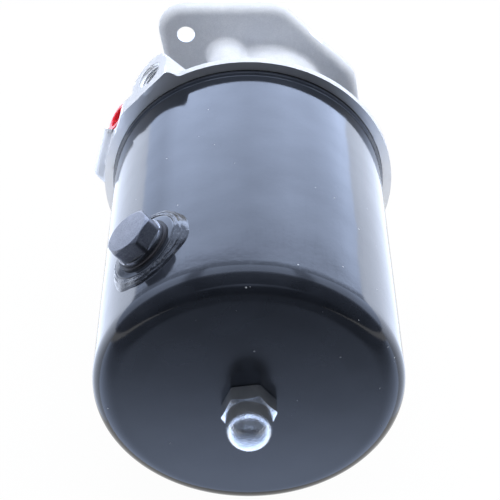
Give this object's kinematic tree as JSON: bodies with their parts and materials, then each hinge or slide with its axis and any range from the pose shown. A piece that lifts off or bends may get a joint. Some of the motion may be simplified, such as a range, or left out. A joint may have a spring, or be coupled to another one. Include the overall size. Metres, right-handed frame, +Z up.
{
  "type": "hydraulic power unit",
  "caption": "Shaft-driven hydraulic gear pump with a bolt-on casting, a steel oil tank clamped by a cap nut, a filler plug, a filter and a flow valve.",
  "frame": {"origin": "centre of the pilot spigot, in the plane of the mounting face, on the drive shaft's axis", "axes": "+Y along the drive shaft out of the mounting face, with the tank towards -Y; +Z up, so that the two ports face up and to the left"},
  "size_m": [0.1355, 0.289, 0.1304],
  "materials": {
    "cast_aluminium": "raw gravity-cast skin with machined faces",
    "black_paint": "glossy black enamel over drawn steel",
    "weld": "rough weld bead under glossy black enamel",
    "black_oxide": "dull black-oxide steel",
    "zinc": "bright zinc plating",
    "ground_steel": "ground and turned steel",
    "spring_steel": "oiled spring steel",
    "bearing_steel": "polished bearing steel",
    "bronze": "sintered bronze",
    "pump_iron": "machined cast iron",
    "rubber": "matt nitrile rubber",
    "paper": "pleated filter paper",
    "tin_plate": "pressed tin plate",
    "fibre": "pressed sealing fibre",
    "red_plastic": "soft red polyethylene"
  },
  "bodies": {
    "root": {"pump_body": "cast_aluminium", "pilot_o_ring": "rubber", "bearing_outer_ring": "bearing_steel", "bearing_circlip": "spring_steel", "shaft_oil_seal": "rubber", "front_shaft_bush": "bronze", "rear_shaft_bush": "bronze", "gear_housing": "pump_iron", "rear_cover": "pump_iron", "cover_screws": "black_oxide", "cover_dowels": "ground_steel", "front_idler_bush": "bronze", "rear_idler_bush": "bronze", "spool_spring": "spring_steel", "valve_plug": "ground_steel", "valve_plug_o_ring": "rubber", "tank_seal_ring": "rubber", "reservoir_tank": "black_paint", "filler_boss": "black_paint", "weld_bead": "weld", "tank_stud": "ground_steel", "cap_nut": "zinc", "nut_seal_ring": "rubber", "filter_paper": "paper", "filter_end_caps": "tin_plate", "filter_core": "tin_plate", "filter_spring": "spring_steel", "spring_seat": "tin_plate"},
    "drive_train": {"drive_shaft": "ground_steel", "shaft_key": "ground_steel", "shaft_nut": "zinc", "shaft_lock_washer": "spring_steel", "bearing_inner_ring": "bearing_steel", "drive_gear": "ground_steel", "drive_gear_key": "ground_steel"},
    "idler": {"driven_gear": "ground_steel", "idler_shaft": "ground_steel"},
    "ball_set": {"bearing_balls": "bearing_steel", "bearing_cage": "bronze"},
    "spool": {"flow_spool": "ground_steel"},
    "filler_seal": {"filler_plug_washer": "fibre"},
    "filler_cap": {"filler_plug": "black_oxide"},
    "shipping_cap": {"transit_plug": "red_plastic"}
  },
  "joints": [
    {"name": "shaft_spin", "type": "hinge", "parent": "root", "child": "drive_train", "pos_m": [0, 0, 0], "axis": [0, 1, 0], "continuous": true},
    {"name": "idler_spin", "type": "hinge", "parent": "root", "child": "idler", "pos_m": [-0.0132, 0, -0.02286], "axis": [0, 1, 0], "continuous": true},
    {"name": "ball_set_spin", "type": "hinge", "parent": "root", "child": "ball_set", "pos_m": [0, 0, 0], "axis": [0, 1, 0], "continuous": true},
    {"name": "spool_slide", "type": "slide", "parent": "root", "child": "spool", "axis": [0, 1, 0], "range_m": [0, 0.0045], "stiffness_N_per_m": 1200, "springref_m": -0.003, "deforming": ["spool_spring"]},
    {"name": "filler_lift", "type": "slide", "parent": "root", "child": "filler_seal", "axis": [-0.6428, 0, 0.766], "range_m": [0, 0.012]},
    {"name": "filler_turn", "type": "hinge", "parent": "filler_seal", "child": "filler_cap", "pos_m": [-0.04779, -0.1809, 0.04623], "axis": [-0.6428, 0, 0.766], "range_deg": [0, 2880]},
    {"name": "shipping_cap_pull", "type": "slide", "parent": "root", "child": "shipping_cap", "axis": [-0.829, 0, 0.5592], "range_m": [0, 0.012]}
  ],
  "couplings": [
    {"joint": "idler_spin", "follows": "shaft_spin", "ratio": -1},
    {"joint": "ball_set_spin", "follows": "shaft_spin", "ratio": 0.38657},
    {"joint": "filler_lift", "follows": "filler_turn", "m_per_rad": 0.00023873}
  ]
}
